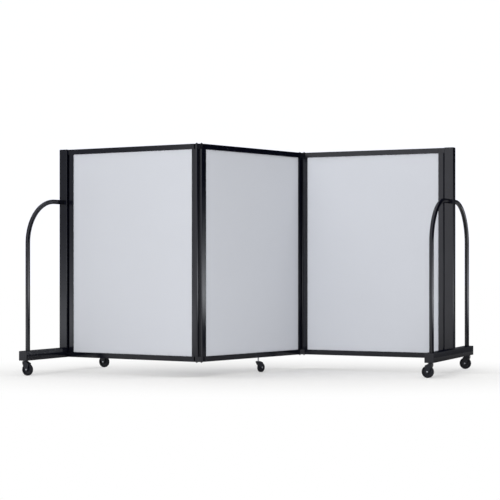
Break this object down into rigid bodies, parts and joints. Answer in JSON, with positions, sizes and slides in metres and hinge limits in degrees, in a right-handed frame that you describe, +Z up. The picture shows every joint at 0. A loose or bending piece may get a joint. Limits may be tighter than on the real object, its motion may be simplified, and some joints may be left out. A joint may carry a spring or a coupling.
{
  "type": "folding privacy screen on casters",
  "caption": "Folding ward screen: rigid pale boards in slim black frames hinged edge to edge, with T-shaped end frames, arched tubes and swivel casters.",
  "frame": {"origin": "on the floor, under the middle of the screen's outline", "axes": "+X to the right as the picture shows the screen, +Y away from the viewer, +Z up"},
  "size_m": [2.4832, 0.8376, 1.2243],
  "materials": {
    "frame_black": "satin powder coat",
    "tube_black": "glossy powder coat",
    "cap_black": "matt",
    "hinge_black": "satin",
    "rod_black": "satin",
    "board_grey": "smooth satin",
    "caster_black": "semi-gloss moulded",
    "wheel_black": "matt",
    "bright_steel": "bright plated"
  },
  "bodies": {
    "middle_panel": {"middle_board": "board_grey", "middle_left_stile": "frame_black", "middle_right_stile": "frame_black", "middle_top_rail": "frame_black", "middle_bottom_rail": "frame_black", "middle_caster_stem": "bright_steel"},
    "left_link": {"left_fold_bottom_block": "hinge_black", "left_fold_top_block": "hinge_black", "left_fold_strip": "hinge_black", "left_fold_left_rod": "rod_black", "left_fold_right_rod": "rod_black"},
    "left_panel": {"left_board": "board_grey", "left_outer_stile": "frame_black", "left_inner_stile": "frame_black", "left_top_rail": "frame_black", "left_bottom_rail": "frame_black", "left_base_bar": "frame_black", "left_bar_back_cap": "cap_black", "left_bar_front_cap": "cap_black", "left_post": "frame_black", "left_post_cap": "cap_black", "left_arch_tube": "tube_black", "left_bottom_bracket": "hinge_black", "left_top_bracket": "hinge_black", "left_tie_rod": "rod_black"},
    "right_link": {"right_fold_bottom_block": "hinge_black", "right_fold_top_block": "hinge_black", "right_fold_strip": "hinge_black", "right_fold_left_rod": "rod_black", "right_fold_right_rod": "rod_black"},
    "right_panel": {"right_board": "board_grey", "right_inner_stile": "frame_black", "right_outer_stile": "frame_black", "right_top_rail": "frame_black", "right_bottom_rail": "frame_black", "right_base_bar": "frame_black", "right_bar_back_cap": "cap_black", "right_bar_front_cap": "cap_black", "right_post": "frame_black", "right_post_cap": "cap_black", "right_arch_tube": "tube_black", "right_bottom_bracket": "hinge_black", "right_top_bracket": "hinge_black", "right_tie_rod": "rod_black"},
    "left_front_swivel": {"left_front_fork": "caster_black", "left_front_axle": "bright_steel"},
    "left_front_roller": {"left_front_wheel": "wheel_black"},
    "left_back_swivel": {"left_back_fork": "caster_black", "left_back_axle": "bright_steel"},
    "left_back_roller": {"left_back_wheel": "wheel_black"},
    "right_front_swivel": {"right_front_fork": "caster_black", "right_front_axle": "bright_steel"},
    "right_front_roller": {"right_front_wheel": "wheel_black"},
    "right_back_swivel": {"right_back_fork": "caster_black", "right_back_axle": "bright_steel"},
    "right_back_roller": {"right_back_wheel": "wheel_black"},
    "middle_swivel": {"middle_fork": "caster_black", "middle_axle": "bright_steel"},
    "middle_roller": {"middle_wheel": "wheel_black"}
  },
  "joints": [
    {"name": "left_fold_inner_pin", "type": "hinge", "parent": "middle_panel", "child": "left_link", "pos_m": [-0.27044, -0.33479, 0.6495], "axis": [0, 0, -1], "range_deg": [-129.37, 50.63]},
    {"name": "left_fold_outer_pin", "type": "hinge", "parent": "left_link", "child": "left_panel", "pos_m": [-0.29509, -0.33897, 0.6495], "axis": [0, 0, -1], "range_deg": [-129.37, 50.63]},
    {"name": "right_fold_inner_pin", "type": "hinge", "parent": "middle_panel", "child": "right_link", "pos_m": [0.26435, 0.2802, 0.6495], "axis": [0, 0, -1], "range_deg": [-126.86, 53.15]},
    {"name": "right_fold_outer_pin", "type": "hinge", "parent": "right_link", "child": "right_panel", "pos_m": [0.28879, 0.28546, 0.6495], "axis": [0, 0, -1], "range_deg": [-126.86, 53.15]},
    {"name": "left_front_swivel_turn", "type": "hinge", "parent": "left_panel", "child": "left_front_swivel", "pos_m": [-1.20761, -0.21727, 0.0792], "axis": [0, 0, 1], "continuous": true},
    {"name": "left_front_wheel_roll", "type": "hinge", "parent": "left_front_swivel", "child": "left_front_roller", "pos_m": [-1.19546, -0.22422, 0.032], "axis": [0.4961, 0.8683, 0], "continuous": true},
    {"name": "left_back_swivel_turn", "type": "hinge", "parent": "left_panel", "child": "left_back_swivel", "pos_m": [-0.86334, 0.38532, 0.0792], "axis": [0, 0, 1], "continuous": true},
    {"name": "left_back_wheel_roll", "type": "hinge", "parent": "left_back_swivel", "child": "left_back_roller", "pos_m": [-0.85119, 0.37837, 0.032], "axis": [0.4961, 0.8683, 0], "continuous": true},
    {"name": "right_front_swivel_turn", "type": "hinge", "parent": "right_panel", "child": "right_front_swivel", "pos_m": [0.91824, -0.38633, 0.0792], "axis": [0, 0, 1], "continuous": true},
    {"name": "right_front_wheel_roll", "type": "hinge", "parent": "right_front_swivel", "child": "right_front_roller", "pos_m": [0.90553, -0.38048, 0.032], "axis": [-0.4182, -0.9084, 0], "continuous": true},
    {"name": "right_back_swivel_turn", "type": "hinge", "parent": "right_panel", "child": "right_back_swivel", "pos_m": [1.20846, 0.24407, 0.0792], "axis": [0, 0, 1], "continuous": true},
    {"name": "right_back_wheel_roll", "type": "hinge", "parent": "right_back_swivel", "child": "right_back_roller", "pos_m": [1.19575, 0.24993, 0.032], "axis": [-0.4182, -0.9084, 0], "continuous": true},
    {"name": "middle_swivel_turn", "type": "hinge", "parent": "middle_panel", "child": "middle_swivel", "pos_m": [0.02812, 0.00855, 0.07], "axis": [0, 0, 1], "continuous": true},
    {"name": "middle_wheel_roll", "type": "hinge", "parent": "middle_swivel", "child": "middle_roller", "pos_m": [0.04289, 0.02552, 0.025], "axis": [-0.7546, 0.6562, 0], "continuous": true}
  ]
}
